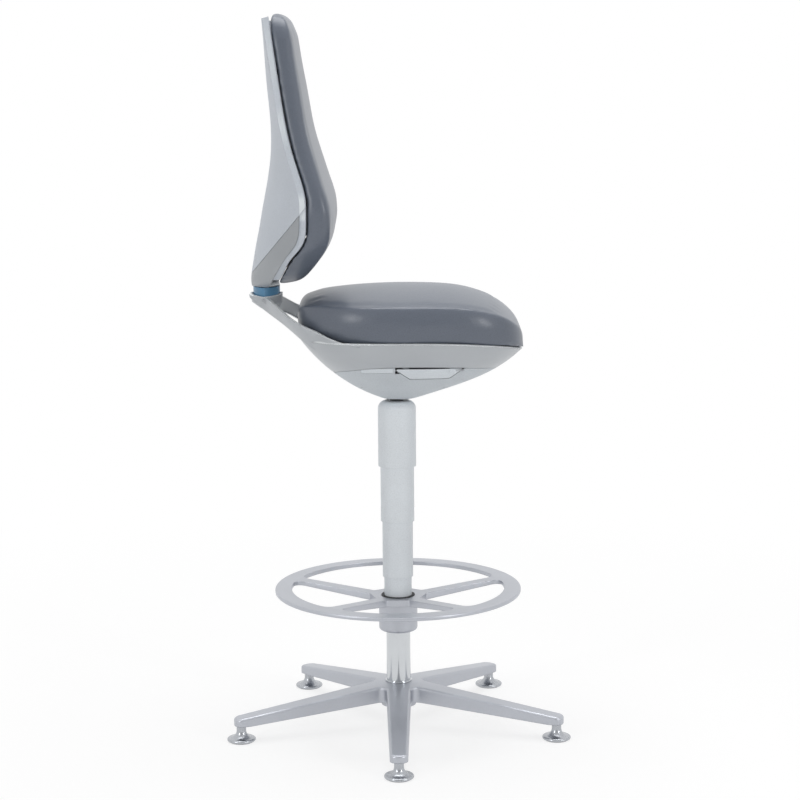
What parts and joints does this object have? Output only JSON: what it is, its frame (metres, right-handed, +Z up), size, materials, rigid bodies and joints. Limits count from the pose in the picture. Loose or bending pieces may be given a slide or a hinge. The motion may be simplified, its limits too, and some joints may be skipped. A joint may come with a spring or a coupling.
{
  "type": "laboratory chair",
  "caption": "High laboratory chair: star base on glides, foot ring, gas lift under telescopic sleeves, tilting upholstered seat and spade-shaped reclining backrest.",
  "frame": {"origin": "on the floor, on the axis of the column", "axes": "+X is the way the sitter faces, +Z is up, +Y is to the sitter's left"},
  "size_m": [0.7054, 0.6735, 1.4729],
  "materials": {
    "silver_paint": "silver powder coat",
    "polished_tube": "polished",
    "glide_metal": "satin",
    "black_rubber": "matt",
    "pale_plastic": "fine grain",
    "silver_plastic": "silver satin",
    "blue_plastic": "satin",
    "upholstery": "soft imitation leather",
    "dark_plastic": "matt",
    "steel": "plain",
    "plywood": "plain"
  },
  "bodies": {
    "base": {"star_base": "silver_paint", "glide_bells": "glide_metal", "glide_pads": "black_rubber", "glide_studs": "steel", "standpipe": "polished_tube", "pipe_ring": "dark_plastic", "pipe_floor": "steel", "lower_race": "steel", "bearing_balls": "steel", "bump_stop": "black_rubber", "guide_bush": "dark_plastic", "cover_sleeve_4": "pale_plastic"},
    "gas_rod": {"piston_rod": "steel", "rod_clip": "steel", "upper_race": "steel", "piston": "steel", "piston_ring": "dark_plastic"},
    "lift": {"gas_cylinder": "steel", "cylinder_gland": "dark_plastic", "cover_sleeve_1": "pale_plastic", "tilt_bracket": "steel", "tilt_axles": "steel", "axle_clips": "steel"},
    "cover_2": {"cover_sleeve_2": "pale_plastic"},
    "cover_3": {"cover_sleeve_3": "pale_plastic"},
    "valve_pin": {"release_pin": "steel"},
    "seat": {"seat_plate": "steel", "seat_pan": "plywood", "pan_posts": "steel", "cover_screws": "steel", "lower_cover": "pale_plastic", "side_inserts": "pale_plastic", "paddle_pins": "steel", "bar_hanger": "steel", "bar_pin": "steel", "axle_ears": "steel", "tilt_bushes": "black_rubber", "friction_discs": "dark_plastic", "seat_frame": "silver_plastic", "seat_cushion": "upholstery", "neck_pins": "steel"},
    "height_control": {"height_paddle": "pale_plastic"},
    "tilt_control": {"tilt_paddle": "pale_plastic"},
    "lever": {"release_bar": "steel"},
    "neck": {"neck_guide": "blue_plastic", "neck_bushes": "dark_plastic", "back_carrier": "silver_plastic", "back_tongue": "steel"},
    "backrest": {"back_shell": "pale_plastic", "back_board": "plywood", "back_cushion": "upholstery", "back_slider": "dark_plastic", "back_posts": "dark_plastic"},
    "foot_rest": {"foot_ring": "silver_paint", "ring_collet": "dark_plastic", "ring_seal": "black_rubber"},
    "ring_lock": {"ring_lock_collar": "silver_paint"}
  },
  "joints": [
    {"name": "swivel", "type": "hinge", "parent": "base", "child": "gas_rod", "pos_m": [0, 0, 0.064], "axis": [0, 0, 1], "continuous": true},
    {"name": "seat_lift", "type": "slide", "parent": "gas_rod", "child": "lift", "axis": [0, 0, 1], "range_m": [-0.265, 0]},
    {"name": "cover_2_slide", "type": "slide", "parent": "base", "child": "cover_2", "axis": [0, 0, 1], "range_m": [-0.1525, 0]},
    {"name": "cover_3_slide", "type": "slide", "parent": "base", "child": "cover_3", "axis": [0, 0, 1], "range_m": [-0.0372, 0]},
    {"name": "valve_press", "type": "slide", "parent": "lift", "child": "valve_pin", "axis": [0, 0, 1], "range_m": [-0.0027, 0]},
    {"name": "seat_tilt", "type": "hinge", "parent": "lift", "child": "seat", "pos_m": [0, 0, 0.735], "axis": [0, 1, 0], "range_deg": [-3, 6]},
    {"name": "height_release", "type": "hinge", "parent": "seat", "child": "height_control", "pos_m": [0.065, -0.1597, 0.77581], "axis": [1, 0, 0], "range_deg": [-15, 0], "stiffness_Nm_per_rad": 0.6, "springref_deg": 11.46},
    {"name": "tilt_release", "type": "hinge", "parent": "seat", "child": "tilt_control", "pos_m": [0.065, 0.1597, 0.77581], "axis": [1, 0, 0], "range_deg": [0, 15], "stiffness_Nm_per_rad": 0.6, "springref_deg": -11.46},
    {"name": "lever_rock", "type": "hinge", "parent": "seat", "child": "lever", "pos_m": [0, 0.1, 0.774], "axis": [1, 0, 0], "range_deg": [0, 1.5]},
    {"name": "back_recline", "type": "hinge", "parent": "seat", "child": "neck", "pos_m": [-0.265, 0, 0.902], "axis": [0, -1, 0], "range_deg": [-2, 12], "stiffness_Nm_per_rad": 60},
    {"name": "back_height", "type": "slide", "parent": "neck", "child": "backrest", "axis": [0.1564, 0, 0.9877], "range_m": [0, 0.06]},
    {"name": "ring_height", "type": "slide", "parent": "base", "child": "foot_rest", "axis": [0, 0, 1], "range_m": [-0.055, 0]},
    {"name": "ring_clamp", "type": "hinge", "parent": "foot_rest", "child": "ring_lock", "pos_m": [0, 0, 0.222], "axis": [0, 0, 1], "range_deg": [0, 60]}
  ],
  "couplings": [
    {"joint": "cover_2_slide", "follows": "seat_lift", "ratio": 0.575},
    {"joint": "cover_3_slide", "follows": "seat_lift", "ratio": 0.14},
    {"joint": "lever_rock", "follows": "height_release", "ratio": -0.1},
    {"joint": "valve_press", "follows": "height_release", "m_per_rad": 0.01}
  ]
}
